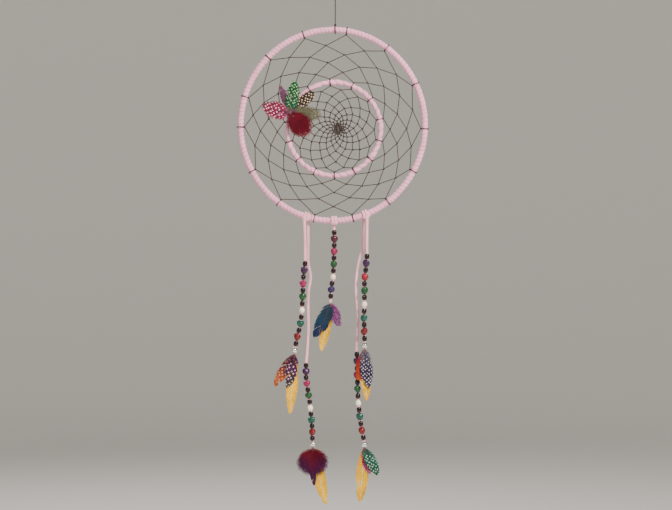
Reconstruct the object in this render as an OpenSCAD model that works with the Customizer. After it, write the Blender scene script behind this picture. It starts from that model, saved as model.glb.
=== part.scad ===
// Dream catcher: a lace-wrapped hoop with a thread web, a second ring set in the web,
// and five beaded laces that end in feathers. Units are mm, +Z is up, -Y is the front,
// and the origin is where the hang loop rests on its peg.

/* [Hoop] */
// Centre of the hoop, across
hoop_x = -2.9; // [-4:0.1:-2]
// Centre of the hoop, below the hang point
hoop_z = -190.4; // [-200:0.1:-188]
// Half the width of the hoop, to the middle of its tube
hoop_half_w = 110.5; // [109:0.1:112]
// Half the height of the hoop, to the middle of its tube
hoop_half_h = 114.5; // [113:0.1:116]
// Thickness of the wrapped hoop
hoop_t = 7.6; // [7:0.1:8]
// Thickness of the hoop's core
hoop_core_t = 5; // [4:0.1:5.4]

/* [Inner ring] */
// Centre of the inner ring, across
ring_x = -1.4; // [-3:0.1:0]
// Centre of the inner ring, below the hang point
ring_z = -194.8; // [-197:0.1:-192]
// Radius of the inner ring, to the middle of its tube
ring_r = 56; // [54:0.1:57]
// Thickness of the wrapped inner ring
ring_t = 6.6; // [6:0.1:7]
// Thickness of the inner ring's core
ring_core_t = 4; // [3:0.1:4.4]

/* [Web] */
// Thickness of the web's thread
thread_t = 0.9; // [0.7:0.05:1]
// Centre of the web, across
web_x = 3.6; // [2:0.1:5]
// Centre of the web, below the hang point
web_z = -194.3; // [-196:0.1:-192]
// Thickness of the ring of thread in the middle of the web
web_knot_t = 1.8; // [1.4:0.1:2]

/* [Laces and beads] */
// Thickness of the hanging laces
lace_t = 2.4; // [2:0.1:2.6]
// Width of a small dark bead
dark_w = 5.6; // [5:0.1:6]
// Height of a small dark bead
dark_h = 5.6; // [5:0.1:5.8]
// Width of a stone bead at its wide end
stone_w = 8.8; // [8:0.1:9]
// Height of a stone bead
stone_h = 8; // [7:0.1:8.2]
// Width of a pale round bead
pearl_w = 6.6; // [6:0.1:7]
// How far the front and back laces stand from the hoop's middle plane
lace_y = 5; // [4.8:0.1:5.6]

/* [Feathers] */
// Thickness of a feather
feather_t = 1; // [0.8:0.1:1.2]
// Thickness of a feather's quill
quill_t = 1.4; // [1:0.1:1.4]

/* [Hang cord] */
// Thickness of the hang cord
cord_t = 1.2; // [1:0.1:1.4]
// Radius of the hang loop, to the middle of its cord
loop_r = 6; // [5:0.1:8]

/* [Hidden] */
$fn = 48;

gap = 0.3;          // between pieces that turn on each other
sides = 14;         // anchors round the hoop, and thread nodes in each round of the web
anchor_angles = [25, 53, 81, 109, 136, 163, 181, 208, 233, 258, 283, 308, 332, 358];
outer_r = [97, 87.5, 78, 68];                        // rounds between the hoop and the ring
inner_r = [47, 39, 32, 26, 20.5, 16, 12, 8.5, 5.5];  // rounds inside the ring
last_outer = len(outer_r) + 1;                       // the round whose inner points are on the ring

// ---- the oval of the hoop: four arcs, each tangent to the next at 45 degrees ----
hoop_shift = (hoop_half_h - hoop_half_w) / (2 - sqrt(2));
hoop_side_r = hoop_half_w + hoop_shift;
hoop_end_r = hoop_half_h - hoop_shift;
hoop_tube_r = hoop_t / 2;
ring_tube_r = ring_t / 2;

// The centre and radius of the arc that has a point whose outward direction is the angle a.
function arc_centre(a) =
    abs(cos(a)) > abs(sin(a))
        ? [hoop_x - sign(cos(a)) * hoop_shift, hoop_z]
        : [hoop_x, hoop_z + sign(sin(a)) * hoop_shift];
function arc_radius(a) = abs(cos(a)) > abs(sin(a)) ? hoop_side_r : hoop_end_r;
function hoop_point(a, out = 0) = arc_centre(a) + (arc_radius(a) + out) * [cos(a), sin(a)];
function ring_point(a, out = 0) = [ring_x, ring_z] + (ring_r + out) * [cos(a), sin(a)];

// The height of the hoop's middle line at its bottom, below a place x.
function hoop_bottom(x) = hoop_z - hoop_shift - sqrt(hoop_end_r ^ 2 - (x - hoop_x) ^ 2);
function hoop_top(x) = hoop_z + hoop_shift + sqrt(hoop_end_r ^ 2 - (x - hoop_x) ^ 2);

// ---- the web ----
function turn_angle(i) = anchor_angles[i % sides] + 360 * floor(i / sides);
// Each round's points lie halfway between those of the round before.
function round_angle(k, i) =
    k == 0 ? turn_angle(i) : (round_angle(k - 1, i) + round_angle(k - 1, i + 1)) / 2;

hitch_t = thread_t + 0.1;
// A point of the outer web: k counts rounds inwards from the hoop.
function outer_node(k, i) =
    let (a = round_angle(k, i))
    k == 0 ? hoop_point(a, -hoop_tube_r - hitch_t)
    : k == last_outer ? ring_point(a, ring_tube_r + hitch_t)
    : let (share = k / last_outer)
      [hoop_x + (ring_x - hoop_x) * share, hoop_z + (ring_z - hoop_z) * share]
      + outer_r[k - 1] * [cos(a), sin(a)];

// A point of the inner web: k counts rounds inwards from the ring.
function inner_node(k, i) =
    let (a = round_angle(last_outer + k, i))
    k == 0 ? ring_point(a, -ring_tube_r - hitch_t)
    : let (share = k / len(inner_r))
      [ring_x + (web_x - ring_x) * share, ring_z + (web_z - ring_z) * share]
      + inner_r[k - 1] * [cos(a), sin(a)];

// The thread passes in front of the round before and behind the round after.
thread_step = thread_t / 2 + 0.05;
function in_front(p) = [p[0], -thread_step, p[1]];
function behind(p) = [p[0], thread_step, p[1]];
function outer_round(k) =
    [for (i = [0:sides - 1]) each [in_front(outer_node(k - 1, i)), behind(outer_node(k, i))]];
function inner_round(k) =
    [for (i = [0:sides - 1]) each [in_front(inner_node(k - 1, i)), behind(inner_node(k, i))]];

// ---- a tube along a route: one polyhedron ----
function unit(v) = v / norm(v);
// The direction across the route's bend and in its plane, stretched so that the tube keeps its width.
function bend_side(back, on) =
    let (ahead = unit(unit(back) + unit(on)), side = unit(cross(ahead, [0, 1, 0])))
    side / max(0.6, unit(on) * ahead);
// The direction across the route and out of its plane.
function bend_lift(back, on) =
    let (ahead = unit(unit(back) + unit(on)), side = unit(cross(ahead, [0, 1, 0])))
    unit(cross(side, ahead));
function tube_ring(p, back, on, r, n) =
    [for (j = [0:n - 1])
        p + r * cos(360 * j / n) * bend_side(back, on)
          + r * sin(360 * j / n) * bend_lift(back, on)];

module closed_tube(route, t, n) {
    count = len(route);
    points = [for (i = [0:count - 1])
        each tube_ring(route[i], route[i] - route[(i + count - 1) % count],
                       route[(i + 1) % count] - route[i], t / 2, n)];
    faces = [for (i = [0:count - 1]) for (j = [0:n - 1])
        let (a = i * n, b = ((i + 1) % count) * n, k = (j + 1) % n)
        each [[a + j, a + k, b + k], [a + j, b + k, b + j]]];
    polyhedron(points, faces);
}

module open_tube(route, t, n) {
    last = len(route) - 1;
    points = [for (i = [0:last])
        each tube_ring(route[i], route[max(i, 1)] - route[max(i, 1) - 1],
                       route[min(i, last - 1) + 1] - route[min(i, last - 1)], t / 2, n)];
    faces = [
        for (i = [0:last - 1]) for (j = [0:n - 1])
            let (a = i * n, b = (i + 1) * n, k = (j + 1) % n)
            each [[a + j, a + k, b + k], [a + j, b + k, b + j]],
        for (j = [1:n - 2]) each [[0, j + 1, j], [last * n, last * n + j, last * n + j + 1]],
    ];
    polyhedron(points, faces);
}

// ---- rings and hoops ----
module upright() rotate([90, 0, 0]) children();

// A quarter of the hoop, for the outline given as children, which starts at the angle a.
// Each arc stops a hair short of the next: solids that meet tangent on curved faces don't fuse well.
hair = 0.005;
module hoop_quarter(a) {
    c = arc_centre(a + 45);
    translate([c[0], 0, c[1]]) upright() rotate(a + hair)
        rotate_extrude(angle = 90 - 2 * hair) translate([arc_radius(a + 45), 0]) children();
}
module hoop_sweep() for (a = [-45, 45, 135, 225]) hoop_quarter(a) children();

module ring_sweep() translate([ring_x, 0, ring_z]) upright()
    rotate_extrude() translate([ring_r, 0]) children();

module tube_outline(outside, inside) difference() {
    circle(d = outside);
    circle(d = inside);
}

// A thread or lace turn round a tube whose middle is at p, where the tube's outward direction is a.
module hitch(p, a, tube_r, t) translate([p[0], 0, p[1]]) rotate([0, -a, 0])
    rotate_extrude() translate([tube_r + t / 2, 0]) circle(d = t);

// ---- the five laces: routes in the plane of each lace, from the knot down ----
left_knot_x = -34.6;
middle_knot_x = -1.3;
right_knot_x = 36.3;

left_short_route = [[-36.6, -307.2], [-36, -330], [-36, -356], [-38, -372], [-39, -397],
                    [-40, -416], [-42, -431], [-46, -446], [-49, -464]];
left_long_route = [[-32.6, -307.2], [-32.5, -330], [-32.5, -354], [-29.5, -372], [-32, -390],
                   [-32.5, -412], [-32, -432], [-33.5, -460], [-35, -479], [-35, -496],
                   [-32.5, -510], [-30.5, -524], [-28, -548], [-27, -577]];
middle_route = [[-1.3, -312], [-1, -330], [-1.5, -350], [-2.5, -373], [-4, -381],
                [-5, -389], [-5.8, -403.5]];
right_short_route = [[38.3, -304.6], [38, -330], [38, -348], [36.5, -364], [35, -376],
                     [35, -403], [34.5, -423], [35, -440], [35.5, -458]];
right_long_route = [[34.3, -304.6], [33.5, -322], [33, -339], [29.5, -350], [26, -370],
                    [25, -385], [26, -400], [27.5, -420], [26.5, -442], [26, -462],
                    [26.5, -490], [27.5, -520], [30, -545], [33, -560], [35.5, -577]];

front = -lace_y;
back = lace_y;

function placed(route, y) = [for (p = route) [p[0], y, p[1]]];
// The place across, and the slope, of a route at a height z.
function span_at(route, z, i = 0) =
    i >= len(route) - 2 || route[i + 1][1] <= z ? i : span_at(route, z, i + 1);
function x_at(route, z) =
    let (i = span_at(route, z), p = route[i], q = route[i + 1])
    p[0] + (q[0] - p[0]) * (z - p[1]) / (q[1] - p[1]);
function lean_at(route, z) = atan2(x_at(route, z + 3) - x_at(route, z - 3), 6);

// ---- beads: each string is a first height, a step down, and the kinds by their first letters ----
// d dark, s stone, p pearl
left_short_string = [-356.4, 7.97, "dsdsdsdpdsdsdp"];
left_long_string = [-478.8, 7.29, "dsdsdsdpdsdsdp"];
middle_string = [-319.2, 7.61, "dsdsdsdpdsd"];
right_short_string = [-347.8, 8.18, "dsdsdsdpdsdsdp"];
right_long_string = [-465.6, 8.31, "dsdsdsdpdsdsdp"];

module bead(kind) rotate_extrude() difference() {
    if (kind == "s") polygon([
        [0, -stone_h / 2], [stone_w * 0.28, -stone_h / 2], [stone_w * 0.4, -stone_h * 0.3],
        [stone_w / 2, stone_h * 0.15], [stone_w * 0.42, stone_h * 0.4],
        [stone_w * 0.3, stone_h / 2], [0, stone_h / 2],
    ]);
    if (kind == "d") polygon([
        [0, -dark_h / 2], [dark_w * 0.34, -dark_h / 2], [dark_w / 2, -dark_h * 0.2],
        [dark_w / 2, dark_h * 0.2], [dark_w * 0.34, dark_h / 2], [0, dark_h / 2],
    ]);
    if (kind == "p") polygon([
        [0, -pearl_w / 2], [pearl_w * 0.3, -pearl_w * 0.45], [pearl_w / 2, -pearl_w * 0.15],
        [pearl_w / 2, pearl_w * 0.15], [pearl_w * 0.3, pearl_w * 0.45], [0, pearl_w / 2],
    ]);
    translate([-1, -10]) square([1 + lace_t / 2, 20]);
}

module beads_of(kind, string, route, y)
    for (i = [0:len(string[2]) - 1]) if (string[2][i] == kind) {
        z = string[0] - i * string[1];
        translate([x_at(route, z), y, z]) rotate([0, lean_at(route, z), 0]) bead(kind);
    }

// ---- feathers: a leaf of vane round a quill, which grows from p in the direction a ----
// a is degrees from straight down, towards +X; bend is how far the tip curls across.
vane_steps = 12;
vane_edge = 0.1;    // half the vane's width where it starts and ends
function vane_half(wide, s) = vane_edge + wide / 2 * sin(180 * s ^ 0.8) ^ 0.7;
function vane_line(long, bend, s) = [bend * s ^ 2, -long * (0.1 + 0.9 * s)];
module feather(p, a, long, wide, bend, y) translate([p[0], y, p[1]]) rotate([0, -a, 0]) {
    right = [for (i = [0:vane_steps])
        vane_line(long, bend, i / vane_steps) + [vane_half(wide, i / vane_steps), 0]];
    left = [for (i = [vane_steps:-1:0])
        vane_line(long, bend, i / vane_steps) - [vane_half(wide, i / vane_steps), 0]];
    upright() linear_extrude(feather_t, center = true) polygon(concat(right, left));
    translate([0, 0, -long * 0.3]) cylinder(h = long * 0.3, d = quill_t);
}
layer = feather_t + gap;       // from one feather's middle to the next in a bunch
quill_drop = 1;                // from a lace's end to its quills

function bunch_top(route) = route[len(route) - 1] - [0, quill_drop];

// ---- the hang cord ----
module hang_loop() color("#3a2f2a") translate([0, 0, cord_t / 2 - loop_r]) upright()
    rotate_extrude() translate([loop_r, 0]) circle(d = cord_t);
knot_r = cord_t * 1.4;
knot_z = cord_t / 2 - 2 * loop_r - cord_t / 2 - knot_r + 0.3;
module hang_knot() color("#3a2f2a") translate([0, 0, knot_z]) sphere(r = knot_r);
cord_top = knot_z - knot_r - gap;
cord_end = hoop_top(0) + hoop_tube_r + gap + cord_t;
module hang_cord() color("#3a2f2a")
    open_tube([for (s = [0:0.25:1]) [0, 0, cord_top + s * (cord_end - cord_top)]], cord_t, 8);
module hang_hitch() color("#3a2f2a") hitch([0, hoop_top(0)], 90, hoop_tube_r + gap, cord_t);

// ---- the hoop, the ring and the web ----
module hoop_core() color("#a8844f") hoop_sweep() circle(d = hoop_core_t);
module hoop_wrap() color("#dfb4c6") hoop_sweep() tube_outline(hoop_t, hoop_core_t + 0.1);
module hoop_hitches() color("#33261f") for (a = anchor_angles)
    hitch(hoop_point(a), a, hoop_tube_r, hitch_t);
module outer_web() color("#33261f") for (k = [1:last_outer]) closed_tube(outer_round(k), thread_t, 6);
module ring_core() color("#a8844f") ring_sweep() circle(d = ring_core_t);
module ring_wrap() color("#dfb4c6") ring_sweep() tube_outline(ring_t, ring_core_t + 0.1);
module ring_hitches() color("#33261f") for (i = [0:sides - 1])
    let (a = round_angle(last_outer, i)) hitch(ring_point(a), a, ring_tube_r, hitch_t);
module inner_web() color("#33261f") for (k = [1:len(inner_r)]) closed_tube(inner_round(k), thread_t, 6);
// The innermost round's points lie on this ring.
module web_knot() color("#33261f") translate([web_x, 0, web_z]) upright() rotate_extrude()
    translate([inner_r[len(inner_r) - 1] - web_knot_t / 2, 0]) circle(d = web_knot_t);

// ---- the rosette of feathers on the ring ----
rosette_a = 160;                                    // its place round the ring
rosette_at = ring_point(rosette_a);
rosette_back = ring_tube_r + 1.3;                   // the back of its binding, in front of the tie
rosette_layer = [for (i = [0:2]) -(rosette_back + 0.7 + i * layer)];
module rosette_feather(a, long, wide, bend, i)
    feather(rosette_at + 2.6 * [sin(a), -cos(a)], a, long, wide, bend, rosette_layer[i]);
module rosette_tie() color("#33261f") for (turn = [-2.6, 2.6])
    let (a = rosette_a + turn) hitch(ring_point(a), a, ring_tube_r, hitch_t);
module rosette_binding() color("#6b4a3c")
    translate([rosette_at[0], -rosette_back, rosette_at[1]]) upright() cylinder(h = 4.2, r = 2.3);
module rosette_plum() color("#5b2440") rosette_feather(-160, 32, 9, 0, 0);
module rosette_green() color("#12603a") rosette_feather(169, 36, 16, 1, 1);
module rosette_rose() color("#b04a70") rosette_feather(-95, 32, 21, -5, 2);
module rosette_brown() color("#4a3422") rosette_feather(130, 35, 15, 1, 0);
module rosette_olive() color("#5d5a3a") rosette_feather(84, 36, 18, 1, 1);
module rosette_crimson() color("#7d0f24") rosette_feather(38, 34, 26, 1, 2);

// ---- the lace knots round the hoop ----
// The direction from the hoop's lower arc to its tube at a place x.
function knot_angle(x) = atan2(hoop_bottom(x) - hoop_z + hoop_shift, x - hoop_x);
module lace_knot(x) translate([x, 0, hoop_bottom(x)]) rotate([0, -knot_angle(x), 0])
    for (s = [-0.5, 0.5]) translate([0, 0, s * (lace_t + 0.1)])
        rotate_extrude() translate([hoop_tube_r + gap + lace_t / 2, 0]) circle(d = lace_t);
module left_knot() color("#dfb4c6") lace_knot(left_knot_x);
module middle_knot() color("#dfb4c6") lace_knot(middle_knot_x);
module right_knot() color("#dfb4c6") lace_knot(right_knot_x);

// ---- the laces and what is strung on them ----
module lace(route, y) color("#dfb4c6") open_tube(placed(route, y), lace_t, 8);
module dark_beads(string, route, y) color("#2b1a20") beads_of("d", string, route, y);
module stones(string, route, y) color("#b8305a") beads_of("s", string, route, y);
module pearls(string, route, y) color("#e8dcc0") beads_of("p", string, route, y);

module left_short_lace() lace(left_short_route, front);
module left_short_dark_beads() dark_beads(left_short_string, left_short_route, front);
module left_short_stones() stones(left_short_string, left_short_route, front);
module left_short_pearls() pearls(left_short_string, left_short_route, front);
module left_long_lace() lace(left_long_route, back);
module left_long_dark_beads() dark_beads(left_long_string, left_long_route, back);
module left_long_stones() stones(left_long_string, left_long_route, back);
module left_long_pearls() pearls(left_long_string, left_long_route, back);
module middle_lace() lace(middle_route, 0);
module middle_dark_beads() dark_beads(middle_string, middle_route, 0);
module middle_stones() stones(middle_string, middle_route, 0);
module middle_pearl() pearls(middle_string, middle_route, 0);
module right_short_lace() lace(right_short_route, front);
module right_short_dark_beads() dark_beads(right_short_string, right_short_route, front);
module right_short_stones() stones(right_short_string, right_short_route, front);
module right_short_pearls() pearls(right_short_string, right_short_route, front);
module right_long_lace() lace(right_long_route, back);
module right_long_dark_beads() dark_beads(right_long_string, right_long_route, back);
module right_long_stones() stones(right_long_string, right_long_route, back);
module right_long_pearls() pearls(right_long_string, right_long_route, back);

// ---- the feather bunches: the yellow feather is at the back, the brightest in front ----
module in_bunch(route, y, a, long, wide, bend = 0) feather(bunch_top(route), a, long, wide, bend, y);

module left_short_yellow_feather() color("#e0c878")
    in_bunch(left_short_route, front + layer, -4, 71, 14);
module left_short_orange_feather() color("#c8622e")
    in_bunch(left_short_route, front, -32, 45, 13);
module left_short_purple_feather() color("#4a1f4a")
    in_bunch(left_short_route, front - layer, -10, 40, 14);
module left_long_yellow_feather() color("#e0c878")
    in_bunch(left_long_route, back + layer, 13, 70, 15);
module left_long_crimson_puff() color("#8a1030")
    in_bunch(left_long_route, back, 2, 45, 38);
module middle_yellow_feather() color("#e0c878")
    in_bunch(middle_route, layer, -11, 58, 13);
module middle_violet_feather() color("#5a2a7a")
    in_bunch(middle_route, 0, 22, 30, 13);
module middle_navy_feather() color("#17304a")
    in_bunch(middle_route, -layer, -20, 45, 17, -4);
module right_short_yellow_feather() color("#e0c878")
    in_bunch(right_short_route, front + layer, 2, 62, 13);
module right_short_orange_feather() color("#c23a30")
    in_bunch(right_short_route, front, -12, 38, 13);
module right_short_navy_feather() color("#2a2448")
    in_bunch(right_short_route, front - layer, 5, 47, 15);
module right_long_yellow_feather() color("#e0c878")
    in_bunch(right_long_route, back + layer, -5, 65, 15);
module right_long_magenta_feather() color("#a02060")
    in_bunch(right_long_route, back, 10, 32, 11);
module right_long_teal_feather() color("#0f5a50")
    in_bunch(right_long_route, back - layer, 26, 37, 14);

hang_loop();
hang_knot();
hang_cord();
hang_hitch();
hoop_core();
hoop_wrap();
hoop_hitches();
outer_web();
ring_core();
ring_wrap();
ring_hitches();
inner_web();
web_knot();
rosette_tie();
rosette_binding();
rosette_plum();
rosette_green();
rosette_rose();
rosette_brown();
rosette_olive();
rosette_crimson();
left_knot();
middle_knot();
right_knot();
left_short_lace();
left_short_dark_beads();
left_short_stones();
left_short_pearls();
left_long_lace();
left_long_dark_beads();
left_long_stones();
left_long_pearls();
middle_lace();
middle_dark_beads();
middle_stones();
middle_pearl();
right_short_lace();
right_short_dark_beads();
right_short_stones();
right_short_pearls();
right_long_lace();
right_long_dark_beads();
right_long_stones();
right_long_pearls();
left_short_yellow_feather();
left_short_orange_feather();
left_short_purple_feather();
left_long_yellow_feather();
left_long_crimson_puff();
middle_yellow_feather();
middle_violet_feather();
middle_navy_feather();
right_short_yellow_feather();
right_short_orange_feather();
right_short_navy_feather();
right_long_yellow_feather();
right_long_magenta_feather();
right_long_teal_feather();
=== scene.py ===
"""Dream catcher: the looks of each piece, in metres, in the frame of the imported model.

The front faces -Y. Sizes are millimetres times MM, and the laces' routes are metres."""

import math

import bpy
import numpy as np
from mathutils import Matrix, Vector


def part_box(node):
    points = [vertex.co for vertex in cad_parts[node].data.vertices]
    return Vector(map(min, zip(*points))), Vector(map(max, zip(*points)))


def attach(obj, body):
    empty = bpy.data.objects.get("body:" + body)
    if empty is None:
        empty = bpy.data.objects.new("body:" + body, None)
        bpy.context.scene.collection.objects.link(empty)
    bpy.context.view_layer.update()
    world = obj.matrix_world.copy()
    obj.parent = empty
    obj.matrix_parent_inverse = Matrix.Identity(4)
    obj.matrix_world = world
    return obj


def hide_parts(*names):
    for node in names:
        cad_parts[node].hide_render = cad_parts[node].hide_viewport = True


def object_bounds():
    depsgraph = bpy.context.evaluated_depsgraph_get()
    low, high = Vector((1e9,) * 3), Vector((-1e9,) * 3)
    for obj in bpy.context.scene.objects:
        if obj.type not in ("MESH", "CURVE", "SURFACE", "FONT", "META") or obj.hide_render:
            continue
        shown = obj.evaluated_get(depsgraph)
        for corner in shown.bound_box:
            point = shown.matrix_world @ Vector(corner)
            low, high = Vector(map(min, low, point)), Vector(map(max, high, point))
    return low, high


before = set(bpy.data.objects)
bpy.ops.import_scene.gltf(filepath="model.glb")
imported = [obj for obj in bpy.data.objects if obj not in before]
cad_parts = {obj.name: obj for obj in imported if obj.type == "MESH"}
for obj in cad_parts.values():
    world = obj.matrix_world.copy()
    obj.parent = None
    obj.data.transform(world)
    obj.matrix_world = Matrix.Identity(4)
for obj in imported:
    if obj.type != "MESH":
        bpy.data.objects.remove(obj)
bounds_at_load = [list(corner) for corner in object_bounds()]
MM = 0.001

# ---------------------------------------------------------------- camera and light
low, high = bounds_at_load
view_wide = 0.806
eye_far = 2.4
eye_z = -0.346
camera = bpy.data.objects.new("Camera", bpy.data.cameras.new("Camera"))
bpy.context.collection.objects.link(camera)
camera.data.sensor_width = 36
camera.data.lens = 36 * eye_far / view_wide
camera.location = (0.001, -eye_far, eye_z)
camera.rotation_euler = (math.radians(90), 0, 0)
bpy.context.scene.camera = camera


def area_light(name, place, aim, size, power, colour=(1, 1, 1)):
    light = bpy.data.lights.new(name, "AREA")
    light.size = size
    light.energy = power
    light.color = colour
    lamp = bpy.data.objects.new(name, light)
    bpy.context.collection.objects.link(lamp)
    lamp.location = place
    lamp.rotation_euler = (Vector(aim) - Vector(place)).to_track_quat("-Z", "Y").to_euler()


heart = (0, 0, (low[2] + high[2]) / 2)
area_light("Key", (0.9, -1.5, 0.9), heart, 0.4, 100, (1.0, 0.94, 0.85))
area_light("Fill", (-1.5, -1.4, 0.0), heart, 1.4, 7, (0.94, 0.97, 1.0))
area_light("Back", (-0.5, 1.6, 0.8), heart, 1.2, 14)
world = bpy.data.worlds.new("Soft room")
bpy.context.scene.world = world
world.use_nodes = True
world.node_tree.nodes["Background"].inputs["Color"].default_value = (1.0, 0.98, 0.95, 1)
world.node_tree.nodes["Background"].inputs["Strength"].default_value = 0.3


# ---------------------------------------------------------------- shapes
class Shape:
    """Points, faces and their places on the surface, gathered into one mesh."""

    def __init__(self):
        self.points, self.faces, self.uvs, self.downs, self.count = [], [], [], [], 0

    def add(self, points, faces, uv=None, down=0.0):
        points = np.asarray(points, float).reshape(-1, 3)
        n = len(points)
        self.points.append(points)
        self.faces += [tuple(int(i) + self.count for i in face) for face in faces]
        self.uvs.append(np.zeros((n, 2)) if uv is None else np.asarray(uv, float).reshape(-1, 2))
        self.downs.append(np.broadcast_to(np.asarray(down, float).ravel(), (n,)))
        self.count += n

    def piece(self, name, body, nodes, materials, slot=None, faces_slot=None):
        mesh = bpy.data.meshes.new(name)
        mesh.from_pydata(np.concatenate(self.points).tolist(), [], self.faces)
        uv = np.concatenate(self.uvs)
        corner = np.empty(len(mesh.loops), np.int32)
        mesh.loops.foreach_get("vertex_index", corner)
        layer = mesh.uv_layers.new(name="UVMap")
        layer.data.foreach_set("uv", uv[corner].astype(np.float32).ravel())
        downs = np.concatenate(self.downs).astype(np.float32)
        mesh.attributes.new("down", "FLOAT", "POINT").data.foreach_set("value", downs)
        mesh.polygons.foreach_set("use_smooth", [True] * len(mesh.polygons))
        for material in materials if isinstance(materials, list) else [materials]:
            mesh.materials.append(material)
        if faces_slot is not None:
            mesh.polygons.foreach_set("material_index", faces_slot)
        mesh.update()
        thing = bpy.data.objects.new(name, mesh)
        bpy.context.collection.objects.link(thing)
        if body:
            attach(thing, body)
        if nodes:
            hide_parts(*nodes)
        return thing


def unit(v):
    v = np.asarray(v, float)
    return v / np.maximum(np.linalg.norm(v, axis=-1, keepdims=True), 1e-12)


def along(route):
    """How far along the route each of its points is."""
    return np.concatenate([[0], np.cumsum(np.linalg.norm(np.diff(route, axis=0), axis=1))])


def resampled(route, step):
    route = np.asarray(route, float)
    far = along(route)
    at = np.linspace(0, far[-1], max(3, int(round(far[-1] / step)) + 1))
    return np.stack([np.interp(at, far, route[:, k]) for k in range(3)], axis=1)


def curved(route, step):
    """A smooth line through the route's points, with a point about every step."""
    p = np.asarray(route, float)
    p = np.concatenate([[2 * p[0] - p[1]], p, [2 * p[-1] - p[-2]]])
    line = []
    for a, b, c, d in zip(p, p[1:], p[2:], p[3:]):
        for t in np.linspace(0, 1, 13)[:-1]:
            line.append(
                0.5 * (2 * b + (c - a) * t + (2 * a - 5 * b + 4 * c - d) * t**2
                       + (3 * b - a - 3 * c + d) * t**3)
            )
    return resampled(line + [p[-2]], step)


def frames(line, closed=False, first=(0, -1, 0)):
    """The direction ahead at each point and two across it, carried along without turning."""
    if closed:
        ahead = unit(np.roll(line, -1, axis=0) - np.roll(line, 1, axis=0))
    else:
        ahead = unit(np.gradient(line, axis=0))
    across = np.empty_like(ahead)
    last = np.asarray(first, float)
    for i, t in enumerate(ahead):
        last = unit(last - t * (last @ t))
        across[i] = last
    return ahead, across, np.cross(ahead, across)


def grid_faces(rows, columns, rows_closed=False, columns_closed=True):
    found = []
    for i in range(rows if rows_closed else rows - 1):
        for j in range(columns if columns_closed else columns - 1):
            a, b = i * columns, (i + 1) % rows * columns
            k = (j + 1) % columns
            found.append((a + j, a + k, b + k, b + j))
    return found


def tube(shape, line, radius, sides=8, closed=False, plies=0, lay_length=3 * MM, flat=None, roll=0.0,
         first=(0, -1, 0)):
    """A tube along a line. plies twists that many strands together; flat is (width, thickness) of a lace."""
    line = np.asarray(line, float)
    n = len(line)
    _, front, side = frames(line, closed, first)
    far = along(line)
    turn = np.arange(sides) * 2 * math.pi / sides
    if flat:
        wide, thick = (np.asarray(size, float).reshape(-1, 1) for size in flat)
        x = wide / 2 * np.sign(np.cos(turn)) * np.abs(np.cos(turn)) ** 0.55
        y = thick / 2 * np.sign(np.sin(turn)) * np.abs(np.sin(turn)) ** 0.55
        x, y = np.broadcast_to(x, (n, sides)), np.broadcast_to(y, (n, sides))
    else:
        r = np.broadcast_to(np.asarray(radius, float).reshape(-1, 1), (n, sides))
        if plies:
            twist = turn[None] - 2 * math.pi * far[:, None] / lay_length
            r = r * (0.9 + 0.16 * np.abs(np.cos(plies / 2 * twist)))
        x, y = r * np.cos(turn), r * np.sin(turn)
    angle = np.broadcast_to(np.asarray(roll, float), (n,))[:, None]
    x, y = x * np.cos(angle) - y * np.sin(angle), x * np.sin(angle) + y * np.cos(angle)
    points = line[:, None] + x[..., None] * side[:, None] + y[..., None] * front[:, None]
    uv = np.stack(np.broadcast_arrays(turn[None] / (2 * math.pi), far[:, None] * 100), axis=-1)
    faces = grid_faces(n, sides, closed)
    if not closed:
        faces += [tuple(range(sides))[::-1], tuple((n - 1) * sides + j for j in range(sides))]
    shape.add(points, faces, uv)


def lathe(shape, profile, at, lean, turns=28, wobble=0.0, seed=0):
    """Turns a closed profile of (radius, height) about an upright axis at a place, leaning about Y."""
    draw = np.random.default_rng(seed)
    profile = np.asarray(profile, float)
    angle = np.arange(turns) * 2 * math.pi / turns
    oval = np.cos(2 * angle + draw.uniform(0, 6))
    swell = 1 + wobble * oval + wobble * np.cos(3 * angle + draw.uniform(0, 6))
    r = profile[:, None, 0] * swell
    local = np.stack(
        [r * np.cos(angle), r * np.sin(angle), np.broadcast_to(profile[:, None, 1], r.shape)], axis=-1
    )
    uv = np.stack(np.broadcast_arrays(angle / (2 * math.pi), profile[:, None, 1] * 100), axis=-1)
    shape.add(leaned(local.reshape(-1, 3), lean) + at, grid_faces(len(profile), turns, True), uv)


def leaned(points, lean):
    c, s = math.cos(lean), math.sin(lean)
    return points @ np.array([[c, 0, -s], [0, 1, 0], [s, 0, c]])


# ---------------------------------------------------------------- materials
def node(tree, kind, values=(), **settings):
    """Adds a shader node. values maps its inputs to numbers, colours or other nodes' outputs."""
    made = tree.nodes.new("ShaderNode" + kind)
    for name, value in settings.items():
        setattr(made, name, value)
    for socket, value in dict(values).items():
        if isinstance(value, bpy.types.NodeSocket):
            tree.links.new(value, made.inputs[socket])
        else:
            made.inputs[socket].default_value = value
    return made


def rgba(colour):
    return (*colour, 1)


def mixed(tree, share, a, b, how="MIX"):
    made = tree.nodes.new("ShaderNodeMix")
    made.data_type, made.blend_type = "RGBA", how
    for socket, value in ((made.inputs[0], share), (made.inputs[6], a), (made.inputs[7], b)):
        if isinstance(value, bpy.types.NodeSocket):
            tree.links.new(value, socket)
        else:
            socket.default_value = value
    return made.outputs[2]


def ramp(tree, value, low_at, high_at):
    """0 below low_at and 1 above high_at, smoothly."""
    made = node(tree, "MapRange", {0: value, 1: low_at, 2: high_at}, interpolation_type="SMOOTHSTEP")
    return made.outputs[0]


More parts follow.
